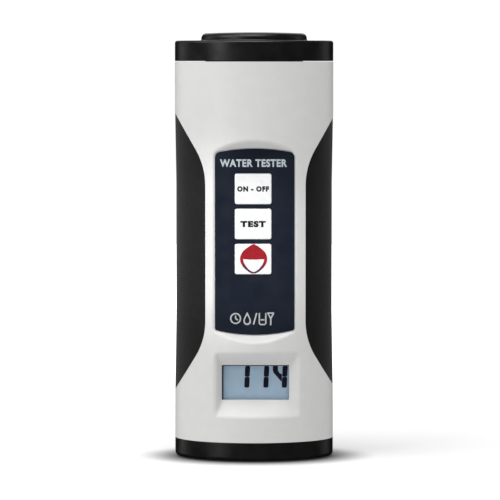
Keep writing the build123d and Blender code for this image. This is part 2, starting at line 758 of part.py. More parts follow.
with BuildPart() as base_cap:
    with BuildSketch(level(cap_bottom)):
        Ellipse(half_w, half_d)
    extrude(amount=base_top - cap_bottom)
    fillet(base_cap.faces().sort_by(Axis.Z)[0].edges(), 1.5)
    fillet(base_cap.faces().sort_by(Axis.Z)[-1].edges(), 0.25)
    # The ring that fits inside the shells.
    with BuildSketch(level(base_top)):
        Ellipse(half_w - wall - play, half_d - wall - play)
    extrude(amount=base_ring_top - base_top)
    with BuildSketch(level(cap_floor_top)):
        Ellipse(half_w - wall - 1.7, half_d - wall - 1.7)
    extrude(amount=base_ring_top, mode=Mode.SUBTRACT)
    # Platform under the cells, and a boss for each base screw.
    with Locations((0, battery_y, cap_floor_top)):
        platform_width, platform_depth = 2 * tray_half_width - 3.0, 2 * tray_half_depth - 1.0
        Box(platform_width, platform_depth, base_platform_top - cap_floor_top, align=UP)
    with Locations(*[(x, y, cap_floor_top) for x, y in base_screw_places]):
        Cylinder(3.4, base_top - cap_floor_top, align=UP)
    with Locations(*[(x, y, cap_bottom) for x, y in base_screw_places]):
        Cylinder(1.6, base_top, align=UP, mode=Mode.SUBTRACT)
        Cylinder(2.6, base_screw_seat - cap_bottom, align=UP, mode=Mode.SUBTRACT)
    # Rebate for the gasket, and pockets for the feet.
    with BuildSketch(level(base_top - 1.2)):
        Ellipse(half_w - gasket_inset[0] + play, half_d - gasket_inset[0] + play)
        Ellipse(half_w - gasket_inset[1] - play, half_d - gasket_inset[1] - play, mode=Mode.SUBTRACT)
    extrude(amount=1.2, mode=Mode.SUBTRACT)
    with Locations(*[(x, y, cap_bottom) for x, y in foot_places]):
        Cylinder(foot_radius + play, foot_pocket_top - cap_bottom, align=UP, mode=Mode.SUBTRACT)
save(base_cap, "base_cap")

with BuildPart() as base_gasket:
    with BuildSketch(level(base_top - 1.15)):
        Ellipse(half_w - gasket_inset[0], half_d - gasket_inset[0])
        Ellipse(half_w - gasket_inset[1], half_d - gasket_inset[1], mode=Mode.SUBTRACT)
    extrude(amount=1.2)
save(base_gasket, "base_gasket")

with BuildPart() as base_screws:
    with Locations(*[(x, y, base_screw_seat) for x, y in base_screw_places]):
        add(base_screw.rotate(Axis.X, 180))
save(base_screws, "base_screws")

with BuildPart() as base_feet:
    with Locations(*[(x, y, 0) for x, y in foot_places]):
        Cylinder(foot_radius, foot_pocket_top - 0.05, align=UP)
    fillet(base_feet.edges().group_by(Axis.Z)[0], 0.3)
save(base_feet, "base_feet")

# ------------------------------------------------------------------ batteries
bore_radius = battery_radius + 0.15
tab_width, end_tab_length = 5.0, 8.0
tab_slot_top = battery_top + plate_thickness + 0.2
end_tab_x = battery_pitch * 1.5 + 2.2
lead_radius, lead_x = 0.7, 20.0

with BuildPart() as battery_tray:
    with Locations((0, battery_y, tray_low)):
        Box(2 * tray_half_width, 2 * tray_half_depth, tray_high - tray_low, align=UP)
    fillet(battery_tray.edges().filter_by(Axis.Z), 2.5)
    with Locations(*[(x, y, tray_low) for x, y in battery_places]):
        Cylinder(bore_radius, battery_top + 0.05 - tray_low, align=UP, mode=Mode.SUBTRACT)
    # Slots for the contact plates, and a hole for each lead.
    with Locations((0, battery_y, battery_top)):
        slot_length, slot_height = battery_pitch + tab_width + 0.4, tab_slot_top - battery_top
        Box(slot_length, tab_width + 0.4, slot_height, align=UP, mode=Mode.SUBTRACT)
    with Locations((-end_tab_x, battery_y, battery_top), (end_tab_x, battery_y, battery_top)):
        Box(end_tab_length + 0.4, tab_width + 0.4, slot_height, align=UP, mode=Mode.SUBTRACT)
    with Locations((-lead_x, battery_y, battery_top), (lead_x, battery_y, battery_top)):
        Cylinder(lead_radius + play, 5.0, align=UP, mode=Mode.SUBTRACT)
save(battery_tray, "battery_tray")


def battery(x, y, nub_up):
    """A dry cell of the AAA size, with its nub at the top or at the bottom."""
    nub_height = 0.8
    foot = battery_foot if nub_up else battery_foot + nub_height
    nub_foot = battery_top - nub_height if nub_up else battery_foot
    with BuildPart() as cell:
        with Locations((x, y, foot)):
            Cylinder(battery_radius, battery_top - battery_foot - nub_height, align=UP)
        fillet(cell.edges(), 0.5)
        with Locations((x, y, nub_foot)):
            Cylinder(1.9, nub_height, align=UP)
    return cell


for number, (x, y) in enumerate(battery_places, start=1):
    save(battery(x, y, number % 2 == 1), f"battery_{number}")

spring_wire, spring_turns = 0.3, 3
spring_height = battery_foot - base_platform_top - plate_thickness

with BuildPart() as battery_springs:
    for x, y in battery_places:
        rise = spring_height - 2 * spring_wire - 0.1
        foot = base_platform_top + plate_thickness + spring_wire + 0.05
        with BuildLine() as coil:
            Helix(rise / spring_turns, rise, 3.4, center=(x, y, foot))
        with BuildSketch(Plane(coil.line @ 0, z_dir=coil.line % 0)):
            Circle(spring_wire)
        sweep(path=coil.line, is_frenet=True)
save(battery_springs, "battery_springs")

with BuildPart() as contact_plates:
    with Locations(*[(side * battery_pitch, battery_y, base_platform_top) for side in (-1, 1)]):
        Box(battery_pitch + 7.6, 8.0, plate_thickness, align=UP)
    with Locations((0, battery_y, battery_top + 0.05)):
        Box(battery_pitch + tab_width, tab_width, plate_thickness, align=UP)
    with Locations(*[(side * end_tab_x, battery_y, battery_top + 0.05) for side in (-1, 1)]):
        Box(end_tab_length, tab_width, plate_thickness, align=UP)
save(contact_plates, "contact_plates")


def battery_lead(side):
    """A lead from the tray's end contact up to the main board."""
    start = (side * lead_x, battery_y, battery_top + plate_thickness + 0.1)
    route = [
        start,
        (side * lead_x, battery_y, 80.0),
        (side * 15.5, -5.0, 87.0),
        (side * 15.5, board_skin, 87.0),
    ]
    with BuildPart() as lead:
        with BuildLine() as path:
            FilletPolyline(*route, radius=[6.0, 3.0])
        with BuildSketch(Plane(path.line @ 0, z_dir=path.line % 0)):
            Circle(lead_radius)
        sweep(path=path.line)
    return lead


save(battery_lead(-1), "lead_red")
save(battery_lead(1), "lead_black")
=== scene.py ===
"""Looks of a hand-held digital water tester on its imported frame. Metres, Z up, front towards -Y."""

import math

import bpy
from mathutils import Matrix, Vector


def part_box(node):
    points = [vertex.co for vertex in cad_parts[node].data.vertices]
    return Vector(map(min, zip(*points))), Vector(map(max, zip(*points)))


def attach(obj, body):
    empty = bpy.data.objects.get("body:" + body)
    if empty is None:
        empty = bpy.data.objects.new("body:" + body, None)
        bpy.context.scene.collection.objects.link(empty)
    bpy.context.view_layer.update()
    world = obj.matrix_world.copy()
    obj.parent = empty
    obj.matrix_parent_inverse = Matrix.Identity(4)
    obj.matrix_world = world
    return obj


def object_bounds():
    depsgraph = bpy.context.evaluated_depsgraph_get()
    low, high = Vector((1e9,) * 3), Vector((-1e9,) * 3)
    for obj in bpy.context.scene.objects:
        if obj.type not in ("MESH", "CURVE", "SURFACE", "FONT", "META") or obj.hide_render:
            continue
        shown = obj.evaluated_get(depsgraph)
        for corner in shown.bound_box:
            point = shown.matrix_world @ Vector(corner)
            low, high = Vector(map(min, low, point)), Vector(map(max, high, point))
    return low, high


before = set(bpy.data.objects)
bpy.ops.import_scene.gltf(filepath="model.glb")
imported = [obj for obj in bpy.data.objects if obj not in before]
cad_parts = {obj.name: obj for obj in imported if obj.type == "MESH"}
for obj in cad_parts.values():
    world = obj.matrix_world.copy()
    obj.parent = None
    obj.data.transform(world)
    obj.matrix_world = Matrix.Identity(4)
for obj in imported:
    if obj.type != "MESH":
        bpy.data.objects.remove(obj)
cad_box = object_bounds()
MM = 0.001


# ---------------------------------------------------------------- materials


class Finish:
    """A material whose colour, roughness and relief are patterns in the piece's own coordinates."""

    def __init__(self, name, **values):
        self.material = bpy.data.materials.new(name)
        self.material.use_nodes = True
        self.nodes = self.material.node_tree.nodes
        self.links = self.material.node_tree.links
        self.shader = self.nodes["Principled BSDF"]
        self.output = self.nodes["Material Output"]
        self.place = self.nodes.new("ShaderNodeTexCoord").outputs["Object"]
        for socket, value in values.items():
            self.shader.inputs[socket.replace("_", " ")].default_value = value

    def pattern(self, kind, size, stretch):
        """A texture with features of about this size in metres, drawn out along an axis by its
        share of stretch."""
        mapping = self.nodes.new("ShaderNodeMapping")
        mapping.inputs["Scale"].default_value = [1 / (size * share) for share in stretch]
        texture = self.nodes.new(kind)
        texture.inputs["Scale"].default_value = 1.0
        self.links.new(self.place, mapping.inputs["Vector"])
        self.links.new(mapping.outputs["Vector"], texture.inputs["Vector"])
        return texture

    def noise(self, size, detail=3.0, stretch=(1, 1, 1)):
        """Soft irregular grains, from 0 to 1."""
        texture = self.pattern("ShaderNodeTexNoise", size, stretch)
        texture.inputs["Detail"].default_value = detail
        return texture.outputs["Fac"]

    def cells(self, size, stretch=(1, 1, 1)):
        """Distance to the nearest of scattered points, for pebbled grain."""
        return self.pattern("ShaderNodeTexVoronoi", size, stretch).outputs["Distance"]

    def distance(self, scale=(1, 1, 1)):
        """Distance from the middle of the base, each axis taken times its scale."""
        mapping = self.nodes.new("ShaderNodeMapping")
        mapping.inputs["Scale"].default_value = scale
        length = self.nodes.new("ShaderNodeVectorMath")
        length.operation = "LENGTH"
        self.links.new(self.place, mapping.inputs["Vector"])
        self.links.new(mapping.outputs["Vector"], length.inputs[0])
        return length.outputs["Value"]

    def height(self):
        """Height above the floor, in metres."""
        split = self.nodes.new("ShaderNodeSeparateXYZ")
        self.links.new(self.place, split.inputs["Vector"])
        return split.outputs["Z"]

    def between(self, value, low, high, to_low, to_high):
        """The value's stretch from low to high, carried to another stretch and held at its ends."""
        remap = self.nodes.new("ShaderNodeMapRange")
        remap.interpolation_type = "SMOOTHSTEP"
        ends = {"From Min": low, "From Max": high, "To Min": to_low, "To Max": to_high}
        for socket, end in ends.items():
            remap.inputs[socket].default_value = end
        self.links.new(value, remap.inputs["Value"])
        return remap.outputs["Result"]

    def mixed(self, share, first, second):
        """A colour between two, by a share. Each colour is a value or another node's output."""
        mix = self.nodes.new("ShaderNodeMix")
        mix.data_type = "RGBA"
        self.links.new(share, mix.inputs[0])
        for socket, colour in ((mix.inputs[6], first), (mix.inputs[7], second)):
            if isinstance(colour, tuple):
                socket.default_value = (*colour, 1)
            else:
                self.links.new(colour, socket)
        return mix.outputs[2]

    def blend(self, share, first, second):
        """Colours the surface with a mix of two colours, and returns it."""
        tone = self.mixed(share, first, second)
        self.links.new(tone, self.shader.inputs["Base Color"])
        return tone

    def colour(self, first, second, size, detail=3.0, stretch=(1, 1, 1)):
        """Colour that drifts between two tones over patches of this size."""
        share = self.between(self.noise(size, detail, stretch), 0.35, 0.65, 0.0, 1.0)
        return self.blend(share, first, second)

    def roughness(self, low, high, size, stretch=(1, 1, 1)):
        """Roughness that drifts between two values over patches of this size."""
        value = self.between(self.noise(size, 4.0, stretch), 0.3, 0.7, low, high)
        self.links.new(value, self.shader.inputs["Roughness"])

    def relief(self, pattern, depth, strength=1.0):
        """Raises the surface by the pattern, as far as depth in metres. Calls stack up."""
        bump = self.nodes.new("ShaderNodeBump")
        bump.inputs["Distance"].default_value = depth
        bump.inputs["Strength"].default_value = strength
        self.links.new(pattern, bump.inputs["Height"])
        normal = self.shader.inputs["Normal"]
        if normal.is_linked:
            self.links.new(normal.links[0].from_socket, bump.inputs["Normal"])
        self.links.new(bump.outputs["Normal"], normal)


def case_finish():
    """Satin white ABS: faint warm drift and fine spark grain."""
    finish = Finish("case_white", Specular_IOR_Level=0.5, Subsurface_Weight=0.04)
    finish.shader.inputs["Subsurface Radius"].default_value = (1.2 * MM, 1.0 * MM, 0.8 * MM)
    finish.colour((0.628, 0.626, 0.618), (0.640, 0.639, 0.633), 4 * MM)
    finish.roughness(0.38, 0.42, 3 * MM)
    finish.relief(finish.noise(0.45 * MM, 2.0), 0.012 * MM)
    return finish.material


def cap_finish():
    """Black moulded caps with a fine spark texture and a low satin gloss."""
    finish = Finish("cap_black", Specular_IOR_Level=0.45)
    finish.colour((0.0068, 0.0064, 0.0068), (0.0095, 0.009, 0.0095), 6 * MM)
    finish.roughness(0.28, 0.38, 5 * MM)
    finish.relief(finish.noise(0.35 * MM, 2.0), 0.02 * MM)
    return finish.material


def grip_finish():
    """Soft-touch rubber: pebbled skin, nearly matt, a trace of sheen and of dust."""
    finish = Finish("grip_rubber", Specular_IOR_Level=0.3, Sheen_Weight=0.1, Sheen_Roughness=0.5)
    finish.colour((0.0030, 0.0028, 0.0033), (0.0042, 0.0040, 0.0046), 3 * MM)
    finish.roughness(0.58, 0.74, 8 * MM)
    finish.relief(finish.cells(0.7 * MM), 0.03 * MM, 0.6)
    return finish.material


def seal_finish():
    """Plain dark rubber of the seals and the feet."""
    finish = Finish("seal_rubber", Specular_IOR_Level=0.35)
    finish.colour((0.016, 0.016, 0.017), (0.026, 0.026, 0.027), 3 * MM)
    finish.roughness(0.5, 0.7, 2 * MM)
    finish.relief(finish.noise(0.3 * MM), 0.015 * MM)
    return finish.material


def label_finish():
    """Navy film printed on its back: a satin skin with a long, very shallow ripple."""
    finish = Finish("label_navy", Specular_IOR_Level=0.4, Coat_Weight=0.15, Coat_Roughness=0.2)
    finish.colour((0.0062, 0.0105, 0.0225), (0.0078, 0.0125, 0.0255), 11 * MM)
    finish.roughness(0.3, 0.4, 6 * MM)
    finish.relief(finish.noise(5 * MM, 1.0), 0.02 * MM)
    finish.relief(finish.noise(0.25 * MM, 1.0), 0.003 * MM)
    return finish.material


def key_finish():
    """Semi-gloss white keycaps."""
    finish = Finish("key_white", Specular_IOR_Level=0.5, Coat_Weight=0.15, Coat_Roughness=0.15)
    finish.colour((0.735, 0.74, 0.742), (0.755, 0.758, 0.76), 4 * MM)
    finish.roughness(0.26, 0.36, 5 * MM)
    finish.relief(finish.noise(0.4 * MM, 1.0), 0.004 * MM)
    return finish.material


def print_finish(name, first, second, below=None):
    """Screen-printed ink: two close tones and a dry, slightly uneven film. Below may give the
    height where the ink has turned to another colour, the height where it starts to, and that
    colour."""
    finish = Finish(name, Specular_IOR_Level=0.2)
    ink = finish.colour(first, second, 1.2 * MM)
    if below:
        turned, starts, other = below
        finish.blend(finish.between(finish.height(), turned, starts, 1.0, 0.0), ink, other)
    finish.roughness(0.38, 0.55, 0.8 * MM)
    finish.relief(finish.noise(0.15 * MM, 2.0), 0.003 * MM)
    return finish.material


def drop_finish():
    """Red ink that turns to plum down the lower half of the drop."""
    low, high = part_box("bottom_key")
    middle = (low.z + high.z) / 2
    plum = (0.085, 0.015, 0.05)
    return print_finish("drop_ink", (0.29, 0.006, 0.013), (0.33, 0.008, 0.016),
                        below=(middle - 4.5 * MM, middle - 0.5 * MM, plum))


def clear_finish(name, tint, haze):
    """Clear acrylic: what is behind shows through, and the surface mirrors a little, more where
    it is smeared and most at a slant."""
    square_on, steepness = 0.04, 5.0  # the share that mirrors straight on, and how it climbs
    finish = Finish(name, Roughness=0.04, Metallic=1.0, Base_Color=(*tint, 1))
    clear = finish.nodes.new("ShaderNodeBsdfTransparent")
    clear.inputs["Color"].default_value = (*tint, 1)
    slant = finish.nodes.new("ShaderNodeLayerWeight")
    grazing, share = (finish.nodes.new("ShaderNodeMath") for _ in range(2))
    grazing.operation, share.operation = "POWER", "ADD"
    grazing.inputs[1].default_value = steepness
    smears = finish.between(finish.noise(6 * MM), 0.4, 0.75, square_on, square_on + haze)
    mix = finish.nodes.new("ShaderNodeMixShader")
    finish.links.new(slant.outputs["Facing"], grazing.inputs[0])
    finish.links.new(grazing.outputs["Value"], share.inputs[0])
    finish.links.new(smears, share.inputs[1])
    finish.links.new(share.outputs["Value"], mix.inputs["Fac"])
    finish.links.new(clear.outputs["BSDF"], mix.inputs[1])
    finish.links.new(finish.shader.outputs["BSDF"], mix.inputs[2])
    finish.links.new(mix.outputs["Shader"], finish.output.inputs["Surface"])
    return finish.material


def lcd_finish():
    """Reflective liquid crystal: blue-grey, with the fine sparkle of its back film."""
    finish = Finish("lcd_glass", Specular_IOR_Level=0.4)
    finish.colour((0.42, 0.535, 0.655), (0.445, 0.565, 0.69), 3 * MM)
    finish.roughness(0.2, 0.3, 4 * MM)
    finish.relief(finish.noise(0.2 * MM, 1.0), 0.002 * MM)
    return finish.material


def moulded_finish(name, tone, gloss, grain=0.35 * MM):
    """Any other plain moulding or film: a tone that drifts a little and a fine grain."""
    finish = Finish(name, Specular_IOR_Level=0.45)
    finish.colour(tuple(0.96 * part for part in tone), tone, 2 * MM)
    finish.roughness(gloss, gloss + 0.08, 2 * MM)
    finish.relief(finish.noise(grain), 0.01 * MM)
    return finish.material


def metal_finish(name, tone, gloss, stretch=(1, 1, 1)):
    """Plated or drawn metal with fine marks, drawn out along an axis where the piece is brushed."""
    finish = Finish(name, Metallic=1.0)
    finish.colour(tuple(0.82 * part for part in tone), tone, 1.5 * MM, 4.0, stretch)
    finish.roughness(gloss, gloss + 0.18, 0.8 * MM, stretch)
    finish.relief(finish.noise(0.12 * MM, 2.0, stretch), 0.004 * MM)
    return finish.material


def board_finish():
    """Green solder mask over paler copper tracks that run up and across the board."""
    finish = Finish("board_green", Specular_IOR_Level=0.5)
    tracks = finish.between(finish.cells(2.6 * MM, (1, 1, 6)), 0.18, 0.24, 1.0, 0.0)
    mask = finish.colour((0.008, 0.075, 0.03), (0.010, 0.088, 0.036), 5 * MM)
    finish.blend(tracks, mask, (0.022, 0.16, 0.06))
    finish.roughness(0.2, 0.32, 4 * MM)
    finish.relief(tracks, 0.03 * MM)
    return finish.material


finishes = {
    "case_white": case_finish(),
    "cap_black": cap_finish(),
    "grip_rubber": grip_finish(),
    "seal_rubber": seal_finish(),
    "label_navy": label_finish(),
    "key_white": key_finish(),
    "window_clear": clear_finish("window_clear", (0.97, 0.985, 0.99), 0.012),
    "lcd_glass": lcd_finish(),
    "cell_clear": clear_finish("cell_clear", (0.9, 0.95, 0.96), 0.04),
    "emitter_clear": moulded_finish("emitter_clear", (0.62, 0.68, 0.8), 0.12),
    "detector_black": moulded_finish("detector_black", (0.012, 0.012, 0.018), 0.15),
    "board_green": board_finish(),
    "chip_black": moulded_finish("chip_black", (0.018, 0.018, 0.019), 0.5),
    "capacitor_can": metal_finish("capacitor_can", (0.72, 0.72, 0.74), 0.25, (1, 1, 8)),
    "connector_ivory": moulded_finish("connector_ivory", (0.66, 0.6, 0.44), 0.4),
    "ribbon_white": moulded_finish("ribbon_white", (0.7, 0.7, 0.68), 0.35),
    "switch_black": moulded_finish("switch_black", (0.02, 0.02, 0.021), 0.4),
    "plunger_ivory": moulded_finish("plunger_ivory", (0.66, 0.6, 0.44), 0.35),
    "tray_black": moulded_finish("tray_black", (0.02, 0.02, 0.021), 0.42),
    "battery_jacket": metal_finish("battery_jacket", (0.17, 0.24, 0.2), 0.28, (1, 1, 6)),
    "contact_nickel": metal_finish("contact_nickel", (0.6, 0.58, 0.54), 0.22),
    "lead_red": moulded_finish("lead_red", (0.4, 0.012, 0.01), 0.4),
    "lead_black": moulded_finish("lead_black", (0.015, 0.015, 0.016), 0.4),
    "screw_steel": metal_finish("screw_steel", (0.52, 0.52, 0.53), 0.24),
    "plate_grey": moulded_finish("plate_grey", (0.5, 0.51, 0.52), 0.35, 0.2 * MM),
}
drop_ink = drop_finish()
dark_ink = print_finish("dark_ink", (0.006, 0.007, 0.014), (0.009, 0.010, 0.018))
pale_ink = print_finish("pale_ink", (0.40, 0.46, 0.49), (0.48, 0.54, 0.57))
grey_ink = print_finish("grey_ink", (0.36, 0.38, 0.38), (0.43, 0.45, 0.45))
lcd_ink = print_finish("lcd_ink", (0.010, 0.010, 0.026), (0.013, 0.013, 0.034))
# dark ink for the painted shadow along the display opening's left and top edges
shadow_ink = print_finish("shadow_ink", (0.05, 0.068, 0.1), (0.056, 0.076, 0.11))


def dress_cad_nodes():
    """Gives every CAD node the finish of its own slot. The window doesn't shade the display."""
    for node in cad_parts.values():
        slot = node.data.materials[0].name.split(".")[0]
        node.data.materials[0] = finishes[slot]
    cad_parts["lcd_window"].visible_shadow = False


# ------------------------------------------------------- what is printed on the front

film = 0.03 * MM  # how thick a printed layer is
label_low, label_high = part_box("label_panel")
label_face = label_low.y


def printed(name, curve, face, centre, size, body, material):
    """Turns a flat curve into a thin printed layer: fitted to a width and a height, at a centre
    (x, z), on the plane y = face, riding on a body."""
    curve.extrude = 0.1  # any thickness does, since the mesh is scaled to the film's below
    source = bpy.data.objects.new(name, curve)
    bpy.context.scene.collection.objects.link(source)
    bpy.context.view_layer.update()
    mesh = bpy.data.meshes.new_from_object(source)
    bpy.data.objects.remove(source)
    corners = [[axis(v.co[i] for v in mesh.vertices) for i in range(3)] for axis in (min, max)]
    middle = [(low + high) / 2 for low, high in zip(*corners)]
    span = [high - low for low, high in zip(*corners)]
    scale = (size[0] / span[0], size[1] / span[1], film / span[2])
    for vertex in mesh.vertices:
        x, z, depth = (scale[i] * (vertex.co[i] - middle[i]) for i in range(3))
        vertex.co = (centre[0] + x, face - depth, centre[1] + z)
    mesh.materials.clear()
    mesh.materials.append(material)
    piece = bpy.data.objects.new(name, mesh)
    bpy.context.scene.collection.objects.link(piece)
    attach(piece, body)


def words(text, boldness):
    """A line of plain capitals as a curve, its strokes thickened and its letters spread to suit."""
    line = bpy.data.curves.new("line", "FONT")
    line.body = text
    line.offset = boldness
    line.space_character = 1.0 + 3 * boldness
    line.resolution_u = 4
    return line


def flat_shape():
    """An empty flat curve, filled between its closed splines, the inner ones being holes."""
    shape = bpy.data.curves.new("shape", "CURVE")
    shape.dimensions = "2D"
    shape.fill_mode = "BOTH"
    return shape


def outline(*loops):
    """A flat shape with straight-sided closed loops of (x, z) points."""
    shape = flat_shape()
    for loop in loops:
        spline = shape.splines.new("POLY")
        spline.points.add(len(loop) - 1)
        for point, (x, z) in zip(spline.points, loop):
            point.co = (x, z, 0, 1)
        spline.use_cyclic_u = True
    return shape


def arc(centre, radius, start, end, steps=24):
    """Points on an arc from one angle to another, in degrees."""
    turns = [math.radians(start + (end - start) * i / steps) for i in range(steps + 1)]
    return [(centre[0] + radius * math.cos(t), centre[1] + radius * math.sin(t)) for t in turns]


def stroke(path, width):
    """The outline of a line of even width along an open path of (x, z) points."""
    left, right = [], []
    for i, (x, z) in enumerate(path):
        before, after = path[max(i - 1, 0)], path[min(i + 1, len(path) - 1)]
        along = Vector((after[0] - before[0], after[1] - before[1])).normalized()
        left.append((x - along.y * width / 2, z + along.x * width / 2))
        right.append((x + along.y * width / 2, z - along.x * width / 2))
    return left + right[::-1]


def add_rounded(shape, points, sharp=()):
    """Adds a closed curved loop through (x, z) points, smooth except at the sharp ones."""
    spline = shape.splines.new("BEZIER")
    spline.bezier_points.add(len(points) - 1)
    for i, (knot, (x, z)) in enumerate(zip(spline.bezier_points, points)):
        knot.co = (x, z, 0)
        kind = "VECTOR" if i in sharp else "AUTO"
        knot.handle_left_type = knot.handle_right_type = kind
    spline.use_cyclic_u = True
    spline.resolution_u = 10


def mirrored(right_half):
    """A closed outline from its right half, given from the top down, both ends on the middle."""
    left_half = [(-x, z) for x, z in right_half[-2:0:-1]]
    return right_half + left_half


def print_header():
    """The device's plain description across the top of the label."""
    from_left, from_top, width, height = 14.8 * MM, 5.5 * MM, 25.7 * MM, 3.0 * MM
    centre = (label_low.x + from_left, label_high.z - from_top)
    printed("label_header", words("WATER TESTER", 0.035), label_face, centre, (width, height),
            "housing", pale_ink)


def print_keys():
    """A legend on each of the upper keys, and a drop half full on the lowest, in millimetres
    from its middle."""
    legends = {
        "top": ("ON - OFF", (12.2 * MM, 2.1 * MM)),
        "middle": ("TEST", (9.7 * MM, 2.4 * MM)),
    }
    for place, (text, size) in legends.items():
        low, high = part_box(f"{place}_key")
        centre = ((low.x + high.x) / 2, (low.z + high.z) / 2)
        printed(f"{place}_key_legend", words(text, 0.07), low.y, centre, size, f"key_{place}",
                dark_ink)
    low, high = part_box("bottom_key")
    off_right, off_up = 0.2 * MM, 0.15 * MM
    centre = ((low.x + high.x) / 2 + off_right, (low.z + high.z) / 2 + off_up)
    flanks = [(0, 5.85), (2.4, 4.35), (4.5, 2.2), (5.15, -0.1), (4.6, -2.25), (2.9, -4.35),
              (0, -5.85)]
    bowl = [(0, -0.35), (4.0, -0.2), (3.75, -1.35), (2.6, -3.35), (1.1, -4.8), (0, -5.2)]
    shape = flat_shape()
    add_rounded(shape, mirrored(flanks), sharp=(0,))
    add_rounded(shape, mirrored(bowl), sharp=(1, 9))
    printed("bottom_key_drop", shape, low.y, centre, (10.4 * MM, 11.4 * MM), "key_bottom",
            drop_ink)


def print_pictograms():
    """Plain line drawings near the foot of the label: a clock, a drop, a test strip, a sample
    cell and a funnel, in millimetres from the middle of the row."""
    line = 0.55
    pivot, clock_radius = (-6.35, 0.1), 2.15
    clock = [arc(pivot, radius, 0, 360, 28)[:-1] for radius in (clock_radius, clock_radius - line)]
    hands = stroke([(pivot[0], 1.2), pivot, (-5.5, -0.5)], line)
    strip = stroke([(0.55, -2.2), (1.75, 2.2)], line)
    walls = [(2.8, 2.2), (2.8, -1.8), (3.2, -2.2), (4.9, -2.2), (5.3, -1.8), (5.3, 2.2)]
    level = stroke([(3.3, -0.4), (4.8, -0.4)], line)
    funnel = [(5.9, 2.45), (8.5, 2.45), (8.5, 1.9), (7.48, 0.0), (7.48, -2.45), (6.92, -2.45),
              (6.92, 0.0), (5.9, 1.9)]
    mouth = [(6.5, 1.9), (7.9, 1.9), (7.2, 0.6)]
    shape = outline(*clock, hands, strip, stroke(walls, line), level, funnel, mouth)
    drop = [(0, 2.6), (0.95, 0.7), (1.45, -0.85), (1.05, -2.0), (0, -2.45)]
    drop_x, drop_z = -1.9, -0.5  # the point its inner edge shrinks towards
    for share in (1.0, 0.64):
        knots = mirrored([(x * share, (z - drop_z) * share + drop_z) for x, z in drop])
        add_rounded(shape, [(x + drop_x, z) for x, z in knots], sharp=(0,))
    from_left, from_foot, width, height = 14.25 * MM, 6.2 * MM, 16.9 * MM, 5.1 * MM
    centre = (label_low.x + from_left, label_low.z + from_foot)
    printed("label_pictograms", shape, label_face, centre, (width, height), "housing",
            grey_ink)


# ------------------------------------------------------- what shows in the display


window_low, window_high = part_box("lcd_window")  # the case overlaps its rim all round
opening_low = window_low + Vector((1.55, 0, 1.2)) * MM
opening_high = window_high - Vector((1.34, 0, 1.35)) * MM
crystal_face = (window_high.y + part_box("lcd_glass")[0].y) / 2


def lit_bar(start, end, width):
    """A bar from one (x, z) point to another, as a plate with its corners cut."""
    start, end = Vector(start), Vector(end)
    along = (end - start).normalized() * width
    edge = 0.5 * Vector((-along.y, along.x))
    tip, cut = 0.6 * edge, 0.2 * along
    return [start + tip, start + cut + edge, end - cut + edge, end + tip,
            end - tip, end - cut - edge, start + cut - edge, start - tip]


def lcd_reading():
    """The reading 114 in dark bars, in the gap between the crystal and its window. Millimetres
    from the foot of the first bar."""
    height, width, slant, gap = 8.35, 1.95, 0.045, 0.05
    from_left, from_foot = 9.6, 4.55  # of the display's opening
    half = height / 2
    one = [lit_bar((0, 0), (0, half - gap), width), lit_bar((0, half + gap), (0, height), width)]
    hook = [(-4.7, height), (-2.8, height), (-2.7, 6.6), (-2.1, 5.6), (-1.08, 5.1), (-1.08, 2.2),
            (-4.3, 5.7), (-4.7, 6.7)]
    four = one + [hook]
    loops = []
    for start, plates in ((0.0, one), (7.35, one), (14.45, four)):
        loops += [[(start + x + slant * z, z) for x, z in plate] for plate in plates]
    left, right = (limit(x for loop in loops for x, z in loop) for limit in (min, max))
    centre = (opening_low.x + MM * (from_left + (left + right) / 2),
              opening_low.z + MM * (from_foot + half))
    printed("lcd_reading", outline(*loops), crystal_face, centre,
            (MM * (right - left), MM * height), "housing", lcd_ink)


def lcd_painted_shadow():
    """A painted shadow: a dark band on the crystal along the left and top of its opening."""
    margin = 0.7 * MM  # how far it goes on behind the case
    at_left, past_right, past_foot, at_top = 0.65 * MM, 0.3 * MM, 0.4 * MM, 0.52 * MM
    outer = (opening_low.x - margin, opening_high.x + margin,
             opening_low.z - margin, opening_high.z + margin)
    inner = (opening_low.x + at_left, opening_high.x + past_right,
             opening_low.z - past_foot, opening_high.z - at_top)
    loops = [[(a, c), (b, c), (b, d), (a, d)] for a, b, c, d in (outer, inner)]
    centre = ((outer[0] + outer[1]) / 2, (outer[2] + outer[3]) / 2)
    size = (outer[1] - outer[0], outer[3] - outer[2])
    printed("lcd_painted_shadow", outline(*loops), crystal_face, centre, size, "housing",
            shadow_ink)


# ----------------------------------------------------------------- stage, light, camera


def stage_floor():
    """A white floor with a painted contact shadow close round the object's foot, whose own glow grows
    away from the object until it meets the backdrop."""
    reach, sides = 1.5, 96
    mesh = bpy.data.meshes.new("floor")
    mesh.from_pydata([(x, y, 0) for x, y in arc((0, 0), reach, 0, 360, sides)[:-1]], [],
                     [tuple(range(sides))])
    finish = Finish("floor_white", Roughness=0.9, Specular_IOR_Level=0.1)
    white = finish.colour((0.86, 0.86, 0.86), (0.88, 0.88, 0.88), 0.5)
    # painted contact shadow: the floor's colour darkens to dark grey where it lies close round the
    # object's foot
    footprint_distance = finish.distance((1 / cad_box[1].x, 1 / cad_box[1].y, 1))  # 1 at the object's foot
    shadow_darkest, shadow_gone = 0.85, 1.6
    finish.blend(finish.between(footprint_distance, shadow_darkest, shadow_gone, 1.0, 0.0), white, (0.12, 0.12, 0.12))
    glow_starts, glow_full = 0.08, 0.6  # metres from the middle of the object
    glow = finish.between(finish.distance(), glow_starts, glow_full, 0.03, 1.0)
    finish.shader.inputs["Emission Color"].default_value = (1, 1, 1, 1)
    finish.links.new(glow, finish.shader.inputs["Emission Strength"])
    mesh.materials.append(finish.material)
    floor = bpy.data.objects.new("floor", mesh)
    floor.visible_glossy = floor.visible_diffuse = False
    bpy.context.scene.collection.objects.link(floor)


